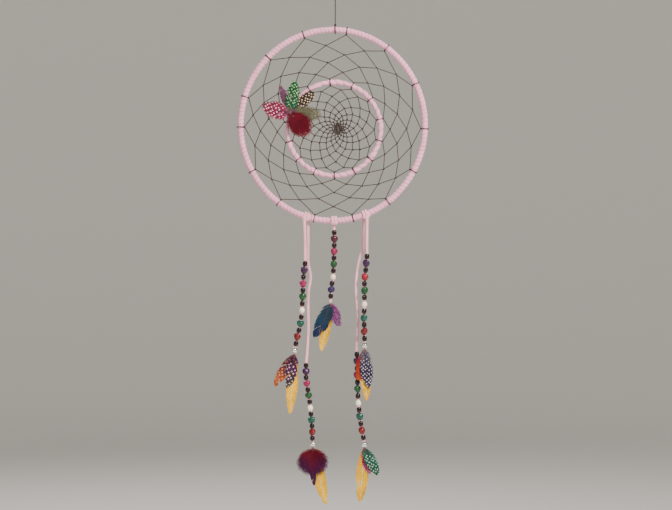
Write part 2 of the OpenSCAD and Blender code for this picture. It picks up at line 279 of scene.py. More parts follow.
def group(name, inputs, outputs):
    """A node group built once, with its input and output nodes."""
    tree = bpy.data.node_groups.new(name, "ShaderNodeTree")
    for label, kind, value in inputs:
        tree.interface.new_socket(label, in_out="INPUT", socket_type=kind).default_value = value
    for label, kind in outputs:
        tree.interface.new_socket(label, in_out="OUTPUT", socket_type=kind)
    return tree, tree.nodes.new("NodeGroupInput"), tree.nodes.new("NodeGroupOutput")


def make_mottle():
    """Uneven dye: a colour that wanders lighter and darker at two sizes, and a height for fine grain."""
    tree, inside, out = group(
        "Uneven dye",
        [("Color", "NodeSocketColor", (0.5, 0.5, 0.5, 1)), ("Size", "NodeSocketFloat", 300),
         ("Depth", "NodeSocketFloat", 0.3)],
        [("Color", "NodeSocketColor"), ("Height", "NodeSocketFloat")],
    )
    where = node(tree, "TexCoord").outputs["Object"]
    broad = node(tree, "TexNoise", {"Vector": where, "Scale": 60, "Detail": 3}).outputs["Fac"]
    fine = node(tree, "TexNoise", {"Vector": where, "Scale": inside.outputs["Size"], "Detail": 6,
                                   "Roughness": 0.65})
    both = node(tree, "Math", {0: broad, 1: fine.outputs["Fac"]}, operation="ADD").outputs[0]
    swing = node(tree, "MapRange", {0: both, 1: 0.7, 2: 1.3, 3: -1.0, 4: 1.0}).outputs[0]
    scaled = node(tree, "Math", {0: swing, 1: inside.outputs["Depth"]}, operation="MULTIPLY").outputs[0]
    bright = node(tree, "Math", {0: scaled, 1: 1.0}, operation="ADD").outputs[0]
    coloured = node(tree, "HueSaturation", {"Value": bright, "Color": inside.outputs["Color"]}).outputs[0]
    tree.links.new(coloured, out.inputs["Color"])
    tree.links.new(fine.outputs["Fac"], out.inputs["Height"])
    return tree


uneven_dye = make_mottle()


def material(name, roughness, **values):
    made = bpy.data.materials.new(name)
    made.use_nodes = True
    shader = made.node_tree.nodes["Principled BSDF"]
    shader.inputs["Roughness"].default_value = roughness
    for socket, value in values.items():
        shader.inputs[socket.replace("_", " ")].default_value = value
    return made, made.node_tree, shader


def dyed(tree, colour, size, depth):
    made = tree.nodes.new("ShaderNodeGroup")
    made.node_tree = uneven_dye
    if isinstance(colour, bpy.types.NodeSocket):
        tree.links.new(colour, made.inputs["Color"])
    else:
        made.inputs["Color"].default_value = rgba(colour)
    made.inputs["Size"].default_value = size
    made.inputs["Depth"].default_value = depth
    return made.outputs


def raised(tree, shader, height, distance, strength=1.0):
    bump = node(tree, "Bump", {"Height": height, "Distance": distance, "Strength": strength})
    tree.links.new(bump.outputs[0], shader.inputs["Normal"])


def suede(name, colour, lap_shaded=False):
    """Napped leather, optionally with painted shade darkening the line where one winding laps the next."""
    made, tree, shader = material(name, 0.92, Sheen_Weight=0.35, Specular_IOR_Level=0.2)
    skin = dyed(tree, colour, 900, 0.16)
    base = skin["Color"]
    if lap_shaded:
        uv = node(tree, "UVMap", uv_map="UVMap").outputs[0]
        across = node(tree, "SeparateXYZ", {0: uv}).outputs["X"]
        # Painted shade: each winding's edges, where it laps the next, are darkened to about a third of its
        # colour.
        edge = ramp(tree, across, 0.22, 0.0)
        base = mixed(tree, edge, base, rgba([c * 0.36 for c in colour]))
    tree.links.new(base, shader.inputs["Base Color"])
    raised(tree, shader, skin["Height"], 0.0003, 0.7)
    return made


def spun(name, colour):
    """Waxed thread: dark, finely mottled lighter and darker."""
    made, tree, shader = material(name, 0.55, Specular_IOR_Level=0.4)
    skin = dyed(tree, colour, 2500, 0.5)
    tree.links.new(skin["Color"], shader.inputs["Base Color"])
    raised(tree, shader, skin["Height"], 0.0001, 0.6)
    return made


def plumage(name, colour, tip=None, down=None, spots=None, spot_wide=0.16):
    """Feather dye. UVs are centimetres across from the shaft and along it, so spots lie in rows."""
    made, tree, shader = material(name, 0.7, Sheen_Weight=0.08, Specular_IOR_Level=0.15)
    uv = node(tree, "UVMap", uv_map="UVMap").outputs[0]
    away = node(tree, "SeparateXYZ", {0: uv}).outputs
    base = rgba(colour)
    if tip:
        base = mixed(tree, ramp(tree, away["Y"], 1.4, 4.2), base, rgba(tip))
    barbs = node(tree, "Mapping", {"Vector": uv, "Scale": (6, 40, 1)}).outputs[0]
    streak = node(tree, "TexNoise", {"Vector": barbs, "Scale": 1.0, "Detail": 2}).outputs["Fac"]
    base = mixed(tree, ramp(tree, streak, 0.35, 0.75), base, (0.55, 0.55, 0.55, 1), "MULTIPLY")
    if spots:
        rows = node(tree, "Mapping", {"Vector": uv, "Rotation": (0, 0, 0.6)}).outputs[0]
        dots = node(tree, "TexVoronoi", {"Vector": rows, "Scale": 0.5 / spot_wide, "Randomness": 0.45},
                    voronoi_dimensions="2D")
        base = mixed(tree, ramp(tree, dots.outputs["Distance"], 0.27, 0.17), base, rgba(spots))
    fluff = node(tree, "Attribute", attribute_name="down").outputs["Fac"]
    base = mixed(tree, fluff, base, rgba(down or [c * 0.6 + 0.06 for c in colour]))
    tree.links.new(dyed(tree, base, 700, 0.4)["Color"], shader.inputs["Base Color"])
    return made


def horn(name, colour):
    """The shaft of a feather."""
    made, tree, shader = material(name, 0.35)
    tree.links.new(dyed(tree, colour, 800, 0.2)["Color"], shader.inputs["Base Color"])
    return made


def polished_stone(name, colour):
    """A dyed stone with darker veins and paler clouds under a gloss."""
    made, tree, shader = material(name, 0.4, Coat_Weight=0.35, Coat_Roughness=0.06, Specular_IOR_Level=0.3)
    where = node(tree, "TexCoord").outputs["Object"]
    bent = node(tree, "TexNoise", {"Vector": where, "Scale": 500, "Detail": 3}).outputs["Color"]
    path = mixed(tree, 0.004, where, bent, "ADD")
    cells = node(tree, "TexVoronoi", {"Vector": path, "Scale": 260}, feature="DISTANCE_TO_EDGE")
    crack = cells.outputs["Distance"]
    cloud = node(tree, "TexNoise", {"Vector": where, "Scale": 240, "Detail": 2}).outputs["Fac"]
    pale = [min(1, c * 1.7 + 0.012) for c in colour]
    base = mixed(tree, ramp(tree, cloud, 0.5, 0.72), rgba(colour), rgba(pale))
    base = mixed(tree, ramp(tree, crack, 0.05, 0.0), base, rgba([c * 0.2 for c in colour]))
    tree.links.new(base, shader.inputs["Base Color"])
    raised(tree, shader, ramp(tree, crack, 0.0, 0.06), 0.0001, 0.5)
    return made


def glazed(name, colour, roughness=0.18):
    """A small glass or lacquer bead."""
    made, tree, shader = material(name, roughness, Coat_Weight=0.2, Specular_IOR_Level=0.3)
    skin = dyed(tree, colour, 700, 0.35)
    tree.links.new(skin["Color"], shader.inputs["Base Color"])
    raised(tree, shader, skin["Height"], 0.00008, 0.5)
    return made


def silvered(name):
    made, tree, shader = material(name, 0.25, Metallic=1.0)
    skin = dyed(tree, (0.86, 0.84, 0.82), 600, 0.12)
    tree.links.new(skin["Color"], shader.inputs["Base Color"])
    tree.links.new(ramp(tree, skin["Height"], 0.2, 1.6), shader.inputs["Roughness"])
    return made


def cane(name):
    made, tree, shader = material(name, 0.6)
    grain = dyed(tree, (0.62, 0.45, 0.25), 400, 0.3)
    tree.links.new(grain["Color"], shader.inputs["Base Color"])
    raised(tree, shader, grain["Height"], 0.0002, 0.5)
    return made


# The windings get painted shade along the laps between windings.
wrap_suede = suede("Lilac suede windings", (0.74, 0.33, 0.48), lap_shaded=True)
lace_suede = suede("Lilac suede lace", (0.78, 0.36, 0.45))
dark_thread = spun("Dark waxed thread", (0.022, 0.012, 0.008))
plum_thread = spun("Plum thread", (0.12, 0.03, 0.05))
shaft_pale = horn("Pale shaft", (0.62, 0.52, 0.34))
shaft_dark = horn("Dark shaft", (0.035, 0.014, 0.014))
for core in ("hoop_core", "ring_core"):
    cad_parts[core].data.materials.clear()
    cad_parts[core].data.materials.append(cane("Cane " + core))

# ---------------------------------------------------------------- the hoop's oval and the ring
def middle_of(name):
    """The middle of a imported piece, across and up, in metres."""
    return tuple((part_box(name)[0][i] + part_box(name)[1][i]) / 2 for i in (0, 2))


def half_of(name):
    """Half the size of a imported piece: across, front to back, and up."""
    return [(b - a) / 2 for a, b in zip(*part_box(name))]


HOOP_AT = middle_of("hoop_wrap")
HOOP_R = half_of("hoop_wrap")[1]
HOOP_HALF = (half_of("hoop_wrap")[0] - HOOP_R, half_of("hoop_wrap")[2] - HOOP_R)
RING_AT = middle_of("ring_wrap")
RING_R = half_of("ring_wrap")[1]
RING_WIDE = half_of("ring_wrap")[0] - RING_R
WEB_AT = middle_of("web_knot")
SHIFT = (HOOP_HALF[1] - HOOP_HALF[0]) / (2 - math.sqrt(2))


def hoop_point(a, out=0.0):
    """A point of the hoop's middle line whose outward direction is the angle a, moved outwards."""
    c, s = math.cos(a), math.sin(a)
    if abs(c) > abs(s):
        centre, r = (HOOP_AT[0] - math.copysign(SHIFT, c), HOOP_AT[1]), HOOP_HALF[0] + SHIFT
    else:
        centre, r = (HOOP_AT[0], HOOP_AT[1] + math.copysign(SHIFT, s)), HOOP_HALF[1] - SHIFT
    return np.array([centre[0] + (r + out) * c, 0, centre[1] + (r + out) * s])


def ring_point(a, out=0.0):
    r = RING_WIDE + out
    return np.array([RING_AT[0] + r * math.cos(a), 0, RING_AT[1] + r * math.sin(a)])


def outward(a):
    return np.array([math.cos(a), 0, math.sin(a)])


def onward(a):
    return np.array([-math.sin(a), 0, math.cos(a)])


FRONT = np.array([0.0, -1.0, 0.0])


def wound(shape, place, thickness, core_r, windings, lap, seed):
    """Flat lace wound round and round a hoop: each winding rises to its own edge, over the one before.

    thickness gives the radius at an angle round the hoop. The lace stays clear of the core."""
    draw = np.random.default_rng(seed)
    steps, sides = 8, 28
    n = windings * steps
    widths = 1 + draw.uniform(-0.03, 0.03, windings + 2)
    points, uvs = np.empty((n, sides, 3)), np.empty((n, sides, 2))
    for i in range(n):
        a = i / n * 2 * math.pi
        mid, out, full = place(a), outward(a), thickness(a)
        for j in range(sides):
            b = j / sides * 2 * math.pi
            turn = i / steps + j / sides
            share = turn % 1
            edge = math.exp(-(((share - 0.5) / 0.43) ** 8))
            crown = math.sin(math.pi * share) ** 0.5
            r = max(core_r + 0.12 * MM, full * widths[int(turn)] - lap * (1 - 0.55 * edge - 0.45 * crown))
            points[i, j] = mid + r * (math.cos(b) * out + math.sin(b) * FRONT)
            uvs[i, j] = (min(share, 1 - share) * 2, turn)
    shape.add(points, grid_faces(n, sides, True), uvs)


def eased(value, low_at, high_at):
    """0 below low_at and 1 above high_at, smoothly."""
    t = min(max((value - low_at) / (high_at - low_at), 0), 1)
    return t * t * (3 - 2 * t)


def hoop_thickness(a):
    """The wrap is thicker at the bottom left, where its end is lapped over its start."""
    lapped = math.exp(-(((math.degrees(a) - 254) / 5.5) ** 4))
    return HOOP_R * (0.975 + 0.012 * math.sin(3 * a + 1) + 0.01 * math.sin(11 * a)) + 0.45 * MM * lapped


def ring_thickness(a):
    """The wrap thins to both its ends, beside the rosette."""
    degrees = math.degrees(a)
    bare = eased(degrees, 112, 131) * (1 - eased(degrees, 180, 206))
    twisted = 1 + 0.08 * math.sin(9 * a + 0.6) + 0.03 * math.sin(17 * a)
    return RING_R * 0.95 * twisted * (1 - 0.27 * bare)


hoop_lace = Shape()
wound(hoop_lace, hoop_point, hoop_thickness, 2.5 * MM, 150, 0.6 * MM, 3)
hoop_lace.piece("Hoop_lace_winding", "hoop", ["hoop_wrap"], wrap_suede, "pink_lace")
ring_lace = Shape()
wound(ring_lace, ring_point, ring_thickness, 2 * MM, 40, 0.95 * MM, 5)
# The wrap's end lies on the ring's front and is cut to a point.
t = np.linspace(0, 1, 40)
tongue_angles = np.radians(107 + 21.5 * t)
tongue = np.array([ring_point(a) + (ring_thickness(a) + 0.05 * MM) * FRONT for a in tongue_angles])
tube(ring_lace, tongue, 0, 12, flat=((5.8 * (1 - t) ** 0.5 + 0.3) * MM, 0.9 * MM))
ring_lace.piece("Ring_lace_winding", "hoop", ["ring_wrap"], wrap_suede, "pink_lace")


# ---------------------------------------------------------------- thread: hitches and webs
THREAD = 0.9 * MM
HITCH = 1.0 * MM
ANCHORS = [25, 53, 81, 109, 136, 163, 181, 208, 233, 258, 283, 308, 332, 358]
OUTER_R = [97, 87.5, 78, 68]
INNER_R = [47, 39, 32, 26, 20.5, 16, 12, 8.5, 5.5]
TURNS = len(ANCHORS)
LAST_OUTER = len(OUTER_R) + 1


def round_angle(k, i):
    """The angle, in radians, of thread node i in round k. Each round lies half a step on from the last."""
    if k == 0:
        return math.radians(ANCHORS[i % TURNS] + 360 * (i // TURNS))
    return (round_angle(k - 1, i) + round_angle(k - 1, i + 1)) / 2


ANGLES = [[round_angle(k, i) for i in range(TURNS)] for k in range(LAST_OUTER + 1)]
for k in range(len(INNER_R)):
    before = ANGLES[-1]
    ANGLES.append([(a + b) / 2 for a, b in zip(before, before[1:] + [before[0] + 2 * math.pi])])


def between(a, b, share):
    return np.array([a[0] + (b[0] - a[0]) * share, 0, a[1] + (b[1] - a[1]) * share])


def outer_node(k, i):
    a = ANGLES[k][i]
    if k == 0:
        return hoop_point(a, -HOOP_R - HITCH)
    if k == LAST_OUTER:
        return ring_point(a, RING_R + HITCH)
    return between(HOOP_AT, RING_AT, k / LAST_OUTER) + OUTER_R[k - 1] * MM * outward(a)


def inner_node(k, i):
    a = ANGLES[LAST_OUTER + k][i]
    if k == 0:
        return ring_point(a, -RING_R - HITCH)
    return between(RING_AT, WEB_AT, k / len(INNER_R)) + INNER_R[k - 1] * MM * outward(a)


def pulled(p, k, i, seed):
    """Hand-tied nodes sit a little out of true. A node keeps its place in both rounds that share it."""
    draw = np.random.default_rng(1000 * seed + 50 * k + i)
    dx, dz = draw.normal(0, 0.35 * MM, 2)
    return p + np.array([dx, 0, dz])


def web(name, node_name, point, rounds, seed, ends_free):
    """Rounds of twisted thread. Each is in front of the round before, behind the next, and hitched to it."""
    shape = Shape()
    near = np.array([0, -THREAD / 2, 0])
    for k in range(1, rounds + 1):
        corners = []
        for i in range(TURNS):
            p, q = point(k - 1, i), point(k, i)
            if k > 1:
                p = pulled(p, k - 1, i, seed)
            if k < rounds or ends_free:
                q = pulled(q, k, i, seed)
            corners += [p + near, q - near]
        ring = np.array(corners + [corners[0]])
        line = resampled(ring, 1.1 * MM)[:-1]
        tube(shape, line, THREAD / 2 * 1.1, 8, closed=True, plies=2, lay_length=3.2 * MM)
        if k < rounds or ends_free:
            for i in range(TURNS):
                q, nxt = ring[2 * i + 1], ring[2 * i + 2]
                ahead = unit(nxt - q)
                loops = np.linspace(0, 2 * math.pi * 1.6, 22)
                coil = q + 0.25 * MM * ahead + near + np.outer(loops / 10, ahead) * 1.1 * MM
                across = unit(np.cross(ahead, [0, 1, 0]))
                around = np.outer(np.cos(loops), across) + np.outer(np.sin(loops), FRONT)
                coil = coil + THREAD * 0.78 * around
                tube(shape, coil, THREAD * 0.42, 6)
    return shape.piece(name, "hoop", [node_name], dark_thread, "dark_thread")


web("Outer_thread_web", "outer_web", outer_node, LAST_OUTER, 1, False)
web("Inner_thread_web", "inner_web", inner_node, len(INNER_R), 2, True)


def tied(shape, mid, a, tube_r, thread, turns, step):
    """Thread wound a few times round a tube, with a knot at its inner side."""
    s = np.linspace(0, 1, int(26 * turns))
    b = 2 * math.pi * turns * s + math.pi
    r = tube_r + thread * 0.45
    line = mid + np.outer(r * np.cos(b), outward(a)) + np.outer(r * np.sin(b), FRONT)
    line = line + np.outer((s - 0.5) * step * turns, onward(a))
    tube(shape, line, thread / 2, 8, plies=2, lay_length=3 * MM, first=outward(a))
    knot = mid - (tube_r + thread * 0.8) * outward(a)
    t = np.linspace(0, 2 * math.pi, 19)[:-1]
    for tilt in (-0.6, 0.6):
        way = unit(onward(a) + tilt * FRONT)
        ring = knot + thread * 0.75 * (np.outer(np.cos(t), way) + np.outer(np.sin(t), outward(a)))
        tube(shape, ring, thread * 0.42, 6, closed=True)


hitches = Shape()
for degrees in ANCHORS:
    angle = math.radians(degrees)
    tied(hitches, hoop_point(angle), angle, HOOP_R, HITCH, 1.5, 0.9 * MM)
hitches.piece("Hoop_thread_hitches", "hoop", ["hoop_hitches"], dark_thread, "dark_thread")
hitches = Shape()
for angle in ANGLES[LAST_OUTER]:
    tied(hitches, ring_point(angle), angle, RING_R, HITCH, 1.5, 0.9 * MM)
hitches.piece("Ring_thread_hitches", "hoop", ["ring_hitches"], dark_thread, "dark_thread")

# The heart of the web: the last of the thread drawn round and round and across an eye, then knotted off.
heart_knot = Shape()
draw = np.random.default_rng(8)
t = np.linspace(0, 2 * math.pi, 49)[:-1]
for turn in range(6):
    wide, tall = draw.uniform(3.9, 5.1) * MM, draw.uniform(4.3, 5.2) * MM
    bumps = 1 + 0.05 * np.sin(3 * t + draw.uniform(0, 6))
    ring = np.stack([WEB_AT[0] + wide * bumps * np.cos(t), 0.5 * MM * np.sin(4 * t + turn * 1.7),
                     WEB_AT[1] + tall * bumps * np.sin(t)], 1)
    tube(heart_knot, ring, THREAD * 0.45, 7, closed=True, plies=2)
for turn in range(7):
    wide, tall = (0.5 + 0.55 * turn) * MM, draw.uniform(4.8, 7.4) * MM
    tilt = draw.uniform(-0.25, 0.25)
    ring = np.stack([WEB_AT[0] + wide * np.cos(t + tilt), -0.5 * MM + 0.4 * MM * np.sin(3 * t + turn),
                     WEB_AT[1] - 0.8 * MM + tall * np.sin(t)], 1)
    tube(heart_knot, ring, THREAD * 0.45, 7, closed=True, plies=2)
t = np.linspace(0, 4 * math.pi, 30)
for around in (0.5, 1.5, 2.4, 3.6, 4.5, 5.6):
    x, z = 4.6 * math.cos(around), 4.6 * math.sin(around)
    ring = np.stack([WEB_AT[0] + (x + 0.7 * np.cos(t)) * MM, 0.95 * MM * np.sin(t),
                     WEB_AT[1] + (z + np.linspace(-0.8, 0.8, 30)) * MM], 1)
    tube(heart_knot, ring, THREAD * 0.42, 7)
heart_knot.piece("Web_heart_knot", "hoop", ["web_knot"], dark_thread, "dark_thread")

# ---------------------------------------------------------------- the hang cord
CORD = 1.2 * MM
LOOP = 6 * MM
hang_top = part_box("hang_knot")[0][2]
hitch_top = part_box("hang_hitch")[1][2]
cord_low, cord_high = hitch_top + 0.2 * MM, hang_top + 0.6 * MM
rise = np.array([[0, 0, cord_low], [0.2 * MM, 0, hitch_top + 18 * MM], [0, 0, cord_high]])
cord_line = curved(rise, 1.0 * MM)
hang = Shape()
tube(hang, cord_line, CORD / 2, 10, plies=2, lay_length=4 * MM)
hang_cord = hang.piece("Hang_cord", "cord", ["hang_cord"], dark_thread, "dark_cord")

loop = Shape()
t = np.linspace(0, 2 * math.pi, 49)[:-1]
for step in (-0.3, 0.3):
    ring = np.stack([LOOP * 0.95 * np.sin(t), step * MM + 0 * t, CORD / 2 - LOOP + LOOP * np.cos(t)], 1)
    tube(loop, ring, CORD * 0.46, 8, closed=True, plies=2, lay_length=4 * MM)
loop.piece("Hang_loop", "hanger", ["hang_loop"], dark_thread, "dark_cord")

knot = Shape()
knot_mid = [(a + b) / 2 for a, b in zip(*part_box("hang_knot"))]
t = np.linspace(0, 2 * math.pi * 2.5, 70)
coil = knot_mid + MM * np.stack([np.cos(t), np.sin(t), np.linspace(0.9, -0.9, 70)], 1)
tube(knot, coil, CORD * 0.48, 8, plies=2, lay_length=4 * MM)
t = np.linspace(0, 1, 14)
tail = knot_mid + MM * np.stack([1.0 + 2.0 * t, -0.5 * t, -0.8 - 5 * t**1.4], 1)
tube(knot, tail, CORD * 0.4 * (1 - 0.2 * t), 8, plies=2, lay_length=4 * MM)
knot.piece("Hang_knot", "hanger", ["hang_knot"], dark_thread, "dark_cord")

hitch = Shape()
hoop_top = np.array([0, 0, (hitch_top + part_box("hang_hitch")[0][2]) / 2])
reach = HOOP_R + 0.3 * MM + CORD / 2
t = np.linspace(0, 2 * math.pi, 61)[:-1]
turn = hoop_top + reach * np.stack([0.02 * np.sin(t), np.sin(t), np.cos(t)], 1)
tube(hitch, turn, CORD / 2, 8, closed=True, plies=2, lay_length=4 * MM, first=(0, 0, 1))
t = np.linspace(0, 2 * math.pi * 2, 50)
whip = MM * np.stack([0.85 * np.cos(t), 0.85 * np.sin(t), np.linspace(0, 1.6, 50)], 1)
whip = whip + hoop_top + [0, 0, reach + 0.4 * MM]
tube(hitch, whip, CORD * 0.42, 8, plies=2, lay_length=4 * MM)
hitch.piece("Hang_hitch", "cord", ["hang_hitch"], dark_thread, "dark_cord")

# ---------------------------------------------------------------- laces: routes in metres, across and up
ROUTES = {
    "left_short": [
        (-0.0366, -0.3072), (-0.036, -0.330), (-0.036, -0.356), (-0.038, -0.372), (-0.039, -0.397),
        (-0.040, -0.416), (-0.042, -0.431), (-0.046, -0.446), (-0.049, -0.464),
    ],
    "left_long": [
        (-0.0326, -0.3072), (-0.0325, -0.330), (-0.0325, -0.354), (-0.0295, -0.372), (-0.032, -0.390),
        (-0.0325, -0.412), (-0.032, -0.432), (-0.0335, -0.460), (-0.035, -0.479), (-0.035, -0.496),
        (-0.0325, -0.510), (-0.0305, -0.524), (-0.028, -0.548), (-0.027, -0.577),
    ],
    "middle": [
        (-0.0013, -0.312), (-0.001, -0.330), (-0.0015, -0.350), (-0.0025, -0.373), (-0.004, -0.381),
        (-0.005, -0.389), (-0.0058, -0.4035),
    ],
    "right_short": [
        (0.0383, -0.3046), (0.038, -0.330), (0.038, -0.348), (0.0365, -0.364), (0.035, -0.376),
        (0.035, -0.403), (0.0345, -0.423), (0.035, -0.440), (0.0355, -0.458),
    ],
    "right_long": [
        (0.0343, -0.3046), (0.0335, -0.322), (0.033, -0.339), (0.0295, -0.350), (0.026, -0.370),
        (0.025, -0.385), (0.026, -0.400), (0.0275, -0.420), (0.0265, -0.442), (0.026, -0.462),
        (0.0265, -0.490), (0.0275, -0.520), (0.030, -0.545), (0.033, -0.560), (0.0355, -0.577),
    ],
}
LACE_Y = {"left_short": -0.005, "left_long": 0.005, "middle": 0, "right_short": -0.005, "right_long": 0.005}
LACE_WIDE, LACE_THICK = 3.2 * MM, 1.5 * MM
KNOT_X = {side: middle_of(side + "_knot")[0] for side in ("left", "middle", "right")}


def lace_points(strand):
    return np.array([(x, LACE_Y[strand], z) for x, z in ROUTES[strand]])


def knot_place(side):
    """The middle of the hoop's tube under a knot, and the tube's outward angle there."""
    x = KNOT_X[side] - HOOP_AT[0]
    r = HOOP_HALF[1] - SHIFT
    down_z = -math.sqrt(r * r - x * x)
    return np.array([KNOT_X[side], 0, HOOP_AT[1] - SHIFT + down_z]), math.atan2(down_z, x)


# ---------------------------------------------------------------- beads
# The first bead's height and the pitch, in millimetres, then the beads from the top down:
# d is dark, c cream and s silver, and the rest are stones.
STRINGS = {
    "left_short": (-356.4, 7.97, "d v d p d g d c d t d r d s"),
    "left_long": (-478.8, 7.29, "d v d p d g d c d t d r d s"),
    "middle": (-319.2, 7.61, "d m d p d g d c d i d"),
    "right_short": (-347.8, 8.18, "d v d o d g d c d t d r d s"),
    "right_long": (-465.6, 8.31, "d v d p d g d c d t d r d s"),
}
STONE_DYES = {
    "v": ("Violet stone", (0.035, 0.003, 0.045)),
    "m": ("Maroon stone", (0.055, 0.001, 0.010)),
    "p": ("Pink stone", (0.23, 0.0005, 0.06)),
    "o": ("Coral stone", (0.24, 0.002, 0.014)),
    "g": ("Green stone", (0.001, 0.06, 0.012)),
    "t": ("Teal stone", (0.001, 0.065, 0.045)),
    "i": ("Indigo stone", (0.022, 0.008, 0.07)),
    "r": ("Red stone", (0.14, 0.0004, 0.002)),
}
stone_looks = {letter: polished_stone(*dye) for letter, dye in STONE_DYES.items()}
dark_bead_look = glazed("Dark lacquer bead", (0.011, 0.003, 0.005))
cream_look = glazed("Cream bead", (0.92, 0.84, 0.62), 0.3)
silver_look = silvered("Silver bead")


def place_at(strand, z):
    """A place on a lace at the height z, in metres, and how far the lace leans there."""
    route = lace_points(strand)
    x = np.interp([-z, 3 * MM - z, -3 * MM - z], -route[:, 2], route[:, 0])
    return np.array([x[0], route[0, 1], z]), math.atan2(x[2] - x[1], 6 * MM)


DARK_SHARE = 0.415  # half a dark bead's height, as a share of the pitch


def rounded_bead(shape, at, lean, wide, tall, hole, bulge, seed):
    """A drilled bead: round sides, rounded rims and a hole."""
    t = np.linspace(-1, 1, 13)
    out = [(wide / 2 * (1 - abs(u) ** bulge) ** (1 / bulge) * 0.999 + hole * 0.3 * abs(u) ** 6, u * tall / 2)
           for u in t]
    profile = [(hole, -tall * 0.46)] + [(max(r, hole * 1.12), z) for r, z in out] + [(hole, tall * 0.46)]
    lathe(shape, profile + [(hole, 0)], at, lean, 24, wobble=0.012, seed=seed)


def nugget(shape, at, lean, wide, tall, hole, seed):
    """A tumbled stone: cut by flats, wide above and narrow below, worn round at its edges and drilled."""
    draw = np.random.default_rng(seed)
    flats = unit(draw.normal(0, 1, (13, 3)) * (1, 1, 0.8))
    depth = draw.uniform(0.80, 1.0, 13)
    rows, columns = 18, 26
    u = np.linspace(0.13, 0.87, rows) * math.pi
    v = np.arange(columns) * 2 * math.pi / columns
    ways = np.stack([np.sin(u)[:, None] * np.cos(v), np.sin(u)[:, None] * np.sin(v),
                     np.broadcast_to(np.cos(u)[:, None], (rows, columns))], -1)
    reach = np.maximum(ways @ flats.T, 1e-3) / depth
    r = (np.sum(reach**14, axis=-1) + 1.0) ** (-1 / 14)
    p = ways * r[..., None]
    p /= np.abs(p).max(axis=(0, 1))
    p[..., :2] *= (0.88 + 0.16 * p[..., 2:])
    p[..., :2] /= np.abs(p[..., :2]).max()
    p = p * (wide / 2, wide / 2 * draw.uniform(0.85, 1.0), tall / 2)
    rim = np.stack([np.cos(v), np.sin(v), 0 * v], -1) * hole
    top, bottom = rim + (0, 0, p[0, :, 2].min() - 0.4 * MM), rim + (0, 0, p[-1, :, 2].max() + 0.4 * MM)
    rings = np.concatenate([top[None], p, bottom[None]])
    turned = rings.reshape(-1, 3)
    shape.add(leaned(turned, lean) + at, grid_faces(rows + 2, columns, True), None)


LACE_HOLE = 1.1 * MM
for strand, (first_z, pitch, kinds) in STRINGS.items():
    darks, pales, nuggets, pale_slots, dye_slots = Shape(), Shape(), Shape(), [], []
    for i, kind in enumerate(kinds.split()):
        at, lean = place_at(strand, (first_z - i * pitch) * MM)
        seed = 40 * list(STRINGS).index(strand) + i
        if kind == "d":
            rounded_bead(darks, at, lean, 5.9 * MM, 2 * DARK_SHARE * pitch * MM, LACE_HOLE, 2.6, seed)
        elif kind in "cs":
            rounded_bead(pales, at, lean, 6.7 * MM, 7 * MM, LACE_HOLE, 2.15, seed)
            pale_slots += ["cs".index(kind)] * (len(pales.faces) - len(pale_slots))
        else:
            nugget(nuggets, at, lean, 8.9 * MM, 2 * (0.98 - DARK_SHARE) * pitch * MM, LACE_HOLE, seed)
            dye_slots += [list(STONE_DYES).index(kind)] * (len(nuggets.faces) - len(dye_slots))
    body = strand + "_strand"
    pale_node = "middle_pearl" if strand == "middle" else strand + "_pearls"
    darks.piece(strand + "_dark_lacquer_beads", body, [strand + "_dark_beads"], dark_bead_look,
                    "dark_bead")
    nuggets.piece(strand + "_stone_nuggets", body, [strand + "_stones"], list(stone_looks.values()),
                      "dyed_stone", dye_slots)
    pales.piece(strand + "_pale_beads", body, [pale_node], [cream_look, silver_look], "pale_bead",
                    pale_slots)

# ---------------------------------------------------------------- the laces themselves, and their knots
for strand in ROUTES:
    side = strand.split("_")[0]
    mid, angle = knot_place(side)
    route = lace_points(strand)
    start = route[0]
    wrap_r = HOOP_R + 1.4 * MM
    if strand == "middle":
        lead = [(start[0], -wrap_r - 0.4 * MM, mid[2] - 2 * MM), (start[0], -3.4 * MM, start[2] + 2.2 * MM)]
    else:
        lead = [(start[0], start[1], mid[2] + 1 * MM)]
    line = curved(np.array(lead + [tuple(p) for p in route]), 1.6 * MM)
    far = along(line)
    draw = np.random.default_rng(len(strand) + int(abs(start[0]) * 1e4))
    slow_turn = 0.35 * np.sin(far / (31 * MM) + draw.uniform(0, 6))
    roll = slow_turn + 0.18 * np.sin(far / (13 * MM) + draw.uniform(0, 6))
    shape = Shape()
    tube(shape, line, 0, 12, flat=(LACE_WIDE, LACE_THICK), roll=roll)
    lace = shape.piece(strand + "_suede_lace", strand + "_strand", [strand + "_lace"], lace_suede,
                       "pink_lace")

for side in KNOT_X:
    mid, angle = knot_place(side)
    shape = Shape()
    for step in (-1.75, 1.75):
        t = np.linspace(0, 2 * math.pi, 61)[:-1]
        r = HOOP_R + 1.15 * MM
        circle = np.outer(np.cos(t), outward(angle)) + np.outer(np.sin(t), FRONT)
        ring = mid + step * MM * onward(angle) + r * circle
        tube(shape, ring, 0, 12, closed=True, flat=(1.5 * MM, LACE_WIDE), first=onward(angle))
    t = np.linspace(-1, 1, 25)
    bar = (mid + np.outer(4.1 * MM * t, onward(angle))
           + (HOOP_R + 2.3 * MM - 1.0 * MM * t[:, None] ** 4) * (0.86 * FRONT + 0.5 * outward(angle)))
    tube(shape, bar, 0, 12, flat=(LACE_WIDE, 1.3 * MM), first=unit(0.86 * FRONT + 0.5 * outward(angle)))
    shape.piece(side + "_lark_head_knot", side + "_knot_turn", [side + "_knot"], lace_suede, "pink_lace")

